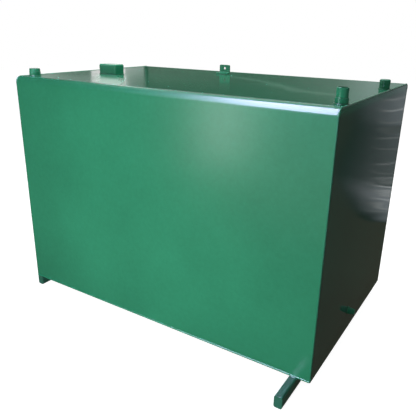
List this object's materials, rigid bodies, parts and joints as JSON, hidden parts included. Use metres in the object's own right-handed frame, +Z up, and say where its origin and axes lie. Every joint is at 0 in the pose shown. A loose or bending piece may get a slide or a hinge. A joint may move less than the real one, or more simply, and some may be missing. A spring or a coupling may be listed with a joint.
{
  "type": "bunded oil tank",
  "caption": "Box-shaped welded steel oil tank with an inner tank inside its outer bund, on bearers, with roof connections, a lifting lug and a side outlet.",
  "frame": {"origin": "middle of the whole object's footprint, on the ground under the bearers", "axes": "+X along the long front from left to right, +Y away from the front face, +Z up"},
  "size_m": [1.8666, 1.319, 1.3486],
  "materials": {
    "green_paint": "gloss",
    "end_plate_paint": "gloss",
    "raw_steel": "mill scale"
  },
  "bodies": {
    "root": {"front_sheet": "green_paint", "back_sheet": "green_paint", "roof_sheet": "green_paint", "floor_plate": "green_paint", "left_bearer": "green_paint", "left_bearer_front_cap": "green_paint", "left_bearer_rear_cap": "green_paint", "right_bearer": "green_paint", "right_bearer_front_cap": "green_paint", "right_bearer_rear_cap": "green_paint", "front_left_socket": "green_paint", "front_left_plug": "green_paint", "front_right_socket": "green_paint", "front_right_nipple": "green_paint", "rear_right_socket": "green_paint", "rear_right_plug": "green_paint", "lifting_lug": "green_paint", "fill_box": "green_paint", "fill_box_lid": "green_paint", "side_outlet_socket": "green_paint", "side_outlet_plug": "green_paint", "left_end_plate": "end_plate_paint", "right_end_plate": "end_plate_paint", "inner_floor": "raw_steel", "inner_top": "raw_steel", "inner_left_wall": "raw_steel", "inner_right_wall": "raw_steel", "inner_front_wall": "raw_steel", "inner_back_wall": "raw_steel", "left_packer": "raw_steel", "middle_packer": "raw_steel", "right_packer": "raw_steel", "fill_neck": "raw_steel"}
  },
  "joints": []
}
